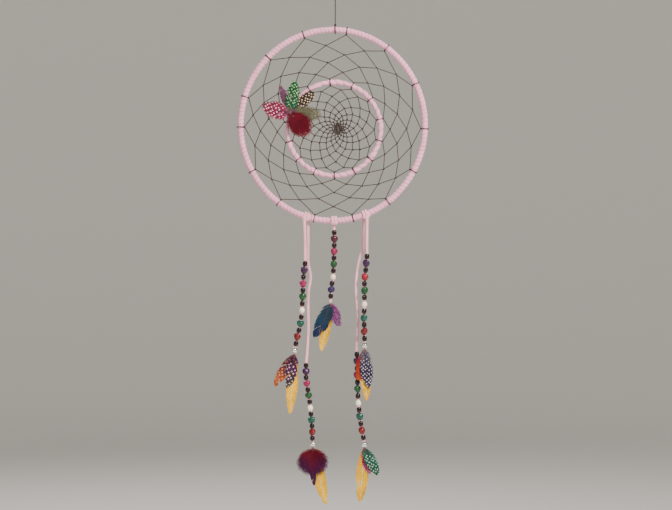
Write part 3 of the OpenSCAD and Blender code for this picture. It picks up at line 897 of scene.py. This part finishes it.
# ---------------------------------------------------------------- feathers
FEATHER_LOOKS = {
    "yellow": plumage("Yellow plumage", (0.66, 0.31, 0.004),
                      tip=(0.76, 0.42, 0.008), down=(0.52, 0.22, 0.006)),
    "plum": plumage("Plum plumage", (0.10, 0.015, 0.07), tip=(0.16, 0.03, 0.08)),
    "green": plumage("Green plumage", (0.001, 0.065, 0.014),
                     down=(0.004, 0.08, 0.05), spots=(0.34, 0.56, 0.30)),
    "rose": plumage("Rose plumage", (0.15, 0.002, 0.045),
                    tip=(0.075, 0.003, 0.012), down=(0.32, 0.02, 0.10),
                    spots=(0.80, 0.40, 0.40), spot_wide=0.18),
    "brown": plumage("Brown plumage", (0.022, 0.009, 0.006), spots=(0.72, 0.56, 0.36)),
    "olive": plumage("Olive plumage", (0.055, 0.06, 0.035),
                     tip=(0.11, 0.11, 0.06), down=(0.15, 0.13, 0.08)),
    "crimson": plumage("Crimson plumage", (0.12, 0.0002, 0.010),
                       tip=(0.15, 0.0003, 0.008), down=(0.11, 0.0004, 0.014)),
    "purple_down": plumage("Purple down", (0.06, 0.003, 0.05),
                           tip=(0.05, 0.002, 0.04), down=(0.07, 0.004, 0.05)),
    "orange": plumage("Orange plumage", (0.07, 0.008, 0.012),
                      tip=(0.42, 0.08, 0.012), down=(0.08, 0.008, 0.02),
                      spots=(0.62, 0.24, 0.15), spot_wide=0.2),
    "purple": plumage("Purple plumage", (0.045, 0.006, 0.045),
                      tip=(0.02, 0.03, 0.02), down=(0.05, 0.008, 0.025),
                      spots=(0.50, 0.34, 0.42), spot_wide=0.2),
    "violet": plumage("Violet plumage", (0.14, 0.015, 0.14), down=(0.20, 0.03, 0.13)),
    "navy": plumage("Navy plumage", (0.003, 0.026, 0.05),
                    tip=(0.006, 0.014, 0.06), down=(0.012, 0.03, 0.06)),
    "barred_navy": plumage("Barred navy plumage", (0.018, 0.014, 0.055), spots=(0.58, 0.54, 0.56)),
    "scarlet": plumage("Scarlet plumage", (0.26, 0.010, 0.008),
                       tip=(0.38, 0.05, 0.01), down=(0.12, 0.004, 0.02)),
    "magenta": plumage("Magenta plumage", (0.26, 0.004, 0.08), down=(0.12, 0.004, 0.08)),
    "teal": plumage("Teal plumage", (0.003, 0.075, 0.055),
                    tip=(0.004, 0.06, 0.03), down=(0.004, 0.09, 0.06),
                    spots=(0.44, 0.62, 0.46)),
}
SLOTS = {"barred_navy": "navy", "scarlet": "orange", "purple_down": "purple"}


def bent(start, pull, end, steps):
    """A curve from start to end, drawn towards pull."""
    t = np.linspace(0, 1, steps)[:, None]
    return (1 - t) ** 2 * start + 2 * t * (1 - t) * pull + t**2 * end


def blade(shape, line, half, uv, down):
    """A narrow flat strip along a line, which faces the front."""
    flat = unit(np.cross(np.gradient(line, axis=0), FRONT))
    edges = flat * half[:, None]
    shape.add(np.stack([line - edges, line + edges], 1), grid_faces(len(line), 2, False, False),
              np.stack([uv, uv], 1), down)


def feather(name, body, nodes, root, angle, long, wide, bend, look, seed, split=0.5, fluffy=0.25, fuzz=0.0):
    """A feather that hangs from its root: a tapered shaft, and barbs each of which is its own narrow blade.

    split is how far the barbs' groups part, fluffy how much of it is downy, fuzz how loose it all is."""
    draw = np.random.default_rng(seed)
    a = math.radians(angle)
    on, out = np.array([math.sin(a), 0, -math.cos(a)]), np.array([math.cos(a), 0, math.sin(a)])

    def place(s, x, y=0.0):
        return root + long * s * on + (bend * s * s + x) * out + y * FRONT

    shape = Shape()
    s = np.linspace(0, 0.94, 24)
    shaft = np.array([place(v, 0) for v in s])
    tube(shape, shaft, (0.62 - 0.5 * s) * MM, 7)
    shaft_faces = len(shape.faces)
    rows = int(long / (0.40 * MM))
    for side in (-1, 1):
        breaks = np.sort(draw.uniform(0.2, 0.95, 5))
        swings = draw.normal(0, split * 0.035, 6)
        for i in range(2 * rows):
            w = (i + 0.5) / (2 * rows)
            reach = wide / 2 * math.sin(math.pi * w**0.9) ** 0.55
            loose = min(1, math.exp(-((w / fluffy) ** 2)) + fuzz)
            part = int(np.searchsorted(breaks, w))
            near_break = float(np.abs(breaks - w).min())
            notch = 0.35 * split * math.exp(-((near_break / 0.012) ** 2))
            reach *= 1 - notch + draw.normal(0, 0.025 + 0.10 * loose)
            lean = 0.95 - 0.42 * w + draw.normal(0, 0.25) * loose
            tip_at = 0.04 + 0.96 * w + swings[part] + draw.normal(0, 0.05) * loose
            base_at = max(0.03, tip_at - reach / math.tan(max(0.35, lean)) / long)
            base_at = min(base_at, 0.93)
            sag = draw.normal(0.25, 0.25) * MM + draw.normal(0, 1.1 * MM) * loose
            end = place(min(tip_at, 1.0), side * reach, -sag)
            lift = 0.1 * MM + draw.normal(0, 0.8 * MM) * loose
            pull = place(base_at + 0.38 * (tip_at - base_at), side * reach * 0.66, lift)
            line = bent(place(base_at, 0), pull, end, 6)
            t = np.linspace(0, 1, 6)
            half = (0.25 - 0.13 * loose) * (1 - 0.7 * t**3) * MM
            uv = np.stack([side * reach * t, (base_at + (tip_at - base_at) * t) * long], 1) * 100
            blade(shape, line, half, uv, loose * (1 - fuzz))
    slots = [1] * shaft_faces + [0] * (len(shape.faces) - shaft_faces)
    shaft_look = shaft_pale if look == "yellow" else shaft_dark
    slot = SLOTS.get(look, look) + "_feather"
    return shape.piece(name, body, nodes, [FEATHER_LOOKS[look], shaft_look], slot, slots)


def tuft(shape, middle, sizes, root, hairs, seed, half=0.16):
    """Fine down that fills an egg shape round a middle, rooted at one place. Returns each face's side."""
    draw = np.random.default_rng(seed)
    places = []
    for i in range(hairs):
        way = unit(draw.normal(0, 1, 3))
        end = middle + way * sizes * draw.uniform(0.55, 1.0) ** 0.5
        share = draw.uniform(0, 0.6)
        start = root + (middle - root) * share
        pull = start + 0.5 * (end - start) + draw.normal(0, 0.16, 3) * sizes + 0.12 * (start - middle)
        line = bent(start, pull, end, 7)
        t = np.linspace(0, 1, 7)
        uv = np.stack([0 * t, t * 2.0 + share], 1)
        blade(shape, line, half * (1 - 0.7 * t) * MM, uv, 0.5)
        places += [way] * 6
    return places


# ---------------------------------------------------------------- the rosette beside the ring
LAYER = 1.3 * MM
ROSETTE_A = math.radians(160)
rosette_mid = ring_point(ROSETTE_A)
# direction, length, width, bend and layer, in degrees and millimetres
ROSETTE = {
    "plum": (-160, 32, 9, 0, 0),
    "green": (169, 36, 16, 1, 1),
    "rose": (-95, 32, 21, -5, 2),
    "brown": (130, 35, 15, 1, 0),
    "olive": (84, 36, 18, 1, 1),
    "crimson": (38, 34, 26, 1, 2),
}
ROSETTE_FUZZ = {"olive": 0.55, "crimson": 0.6, "plum": 0.2}
ROSETTE_DOWN = {"olive": (10, 1.5, 8.5, 380), "crimson": (14.5, 2.4, 13.5, 1500)}
for i, (colour, (angle, long, wide, bend, layer)) in enumerate(ROSETTE.items()):
    a = math.radians(angle)
    on = np.array([math.sin(a), 0, -math.cos(a)])
    root = rosette_mid + 2.6 * MM * on + (5.3 * MM + layer * LAYER) * FRONT
    feather("Rosette_%s_plume" % colour, "rosette", ["rosette_" + colour], root, angle, long * MM, wide * MM,
            bend * MM, colour, 60 + i, fluffy=0.3, fuzz=ROSETTE_FUZZ.get(colour, 0.0))
    if colour in ROSETTE_DOWN:
        wide, deep, tall, hairs = ROSETTE_DOWN[colour]
        soft = Shape()
        middle = root + 0.55 * long * MM * on
        tuft(soft, middle, np.array([wide, deep, tall]) * MM, root, hairs, 90 + i, 0.17)
        soft.piece("Rosette_%s_down" % colour, "rosette", [], FEATHER_LOOKS[colour], colour + "_feather")

binding = Shape()
t = np.linspace(0, 1, 200)
turn = 2 * math.pi * 5 * t
coil = rosette_mid + 4.7 * MM * FRONT + MM * np.stack([2 * np.cos(turn), -3.9 * t, 2 * np.sin(turn)], 1)
tube(binding, coil, THREAD * 0.5, 8, plies=2, first=(1, 0, 0))
t = np.linspace(0, 1, 90)
turn = 2 * math.pi * 3.2 * t
narrow = 2 - 1.7 * t
coil = MM * np.stack([narrow * np.cos(turn), -0.4 * np.sin(3 * t), narrow * np.sin(turn)], 1)
coil = coil + rosette_mid + 8.5 * MM * FRONT
tube(binding, coil, THREAD * 0.5, 8, plies=2, first=(1, 0, 0))
binding.piece("Rosette_thread_binding", "rosette", ["rosette_binding"], plum_thread, "dark_thread")
ties = Shape()
for step in (-2.6, 2.6):
    angle = ROSETTE_A + math.radians(step)
    tied(ties, ring_point(angle), angle, ring_thickness(angle), HITCH, 1.5, 0.9 * MM)
ties.piece("Rosette_tie_thread", "hoop", ["rosette_tie"], dark_thread, "dark_thread")
# Down from the feathers' bases hides the binding.
down = Shape()
centre = rosette_mid + 8.3 * MM * FRONT
sides = tuft(down, centre, np.array([8.5, 1.6, 8.0]) * MM, centre - 1 * MM * FRONT, 420, 21, 0.15)
down_slots = [0 if way[2] < 0.1 and way[0] > -0.5 else 1 if way[2] < 0.6 else 2 for way in sides]
down_looks = [FEATHER_LOOKS["crimson"], FEATHER_LOOKS["plum"], FEATHER_LOOKS["olive"]]
down.piece("Rosette_base_down", "rosette", [], down_looks, "crimson_feather", down_slots)

# ---------------------------------------------------------------- the bunches at the strands' ends
# direction, length, width, bend, layer towards the front, and look
BUNCHES = {
    "left_short": {
        "yellow": (-4, 71, 14, 0, -1, "yellow"),
        "orange": (-32, 45, 13, 0, 0, "orange"),
        "purple": (-10, 40, 14, 0, 1, "purple"),
    },
    "left_long": {"yellow": (13, 70, 15, 0, -1, "yellow")},
    "middle": {
        "yellow": (-11, 58, 13, 0, -1, "yellow"),
        "violet": (22, 30, 13, 0, 0, "violet"),
        "navy": (-20, 45, 17, -4, 1, "navy"),
    },
    "right_short": {
        "yellow": (2, 62, 13, 0, -1, "yellow"),
        "orange": (-12, 38, 13, 0, 0, "scarlet"),
        "navy": (5, 47, 15, 0, 1, "barred_navy"),
    },
    "right_long": {
        "yellow": (-5, 65, 15, 0, -1, "yellow"),
        "magenta": (10, 32, 11, 0, 0, "magenta"),
        "teal": (26, 37, 14, 0, 1, "teal"),
    },
}


def bunch_top(strand):
    x, z = ROUTES[strand][-1]
    return np.array([x, LACE_Y[strand], z - 1 * MM])


for b, (strand, feathers) in enumerate(BUNCHES.items()):
    top = bunch_top(strand)
    for i, (colour, (angle, long, wide, bend, layer, look)) in enumerate(feathers.items()):
        plain = look == "yellow"
        feather("%s_%s_plume" % (strand, colour), strand + "_bunch", ["%s_%s_feather" % (strand, colour)],
                top + layer * LAYER * FRONT, angle, long * MM, wide * MM, bend * MM, look, 100 + 10 * b + i,
                split=0.35 if plain else 0.8, fluffy=0.14 if plain else 0.34,
                fuzz=0.45 if look in ("violet", "magenta") else 0.0)
    whipping = Shape()
    t = np.linspace(0, 1, 110)
    turn = 2 * math.pi * 4 * t
    wide = 1.3 + 0.5 * t
    coil = top + MM * np.stack([wide * np.cos(turn), wide * np.sin(turn), -0.6 - 3 * t], 1)
    tube(whipping, coil, 0.36 * MM, 7, plies=2, lay_length=2 * MM, first=(1, 0, 0))
    whipping.piece(strand + "_quill_whipping", strand + "_bunch", [], plum_thread, "dark_thread")

# The puff: a round tuft of crimson and purple down, with the tip of one plume below it.
puff = Shape()
top = bunch_top("left_long")
middle = top + np.array([0, 0, -17.5]) * MM
ways = tuft(puff, middle, np.array([20.5, 7.5, 17.3]) * MM, top - [0, 0, 4 * MM], 2400, 77, 0.24)
draw = np.random.default_rng(5)
puff_slots = [int(0.9 * abs(way[0]) - 0.8 * way[2] + 0.25 * noise > 0.45) for way, noise in
              zip(ways, np.repeat(draw.normal(0, 1, len(ways) // 6), 6))]
looks = [FEATHER_LOOKS["crimson"], FEATHER_LOOKS["purple_down"]]
puff.piece("left_long_crimson_puff_down", "left_long_bunch", ["left_long_crimson_puff"], looks,
           "crimson_feather", puff_slots)
feather("left_long_puff_tip_plume", "left_long_bunch", [], top + [0, -0.5 * MM, 0], -4, 45 * MM, 9 * MM,
        5 * MM, "purple_down", 79, fluffy=0.3)

# ---------------------------------------------------------------- floor
bowl = Shape()
flat_r, curve_r, floor_z = 3.0, 1.8, -0.85
lift = np.linspace(0, math.pi / 2, 15)[1:]
r = np.concatenate([np.linspace(0.02, flat_r, 8), flat_r + curve_r * np.sin(lift)])
z = np.concatenate([np.zeros(8), curve_r - curve_r * np.cos(lift)]) + floor_z
t = np.arange(72) * 2 * math.pi / 72
bowl.add(np.stack([np.outer(r, np.cos(t)), np.outer(r, np.sin(t)), np.outer(z, np.ones(72))], -1),
         grid_faces(len(r), 72) + [tuple(range(72))])
paint, _, _ = material("Pale floor", 0.9, Base_Color=(0.80, 0.78, 0.74, 1))
bowl.piece("Floor_sweep", None, [], paint)
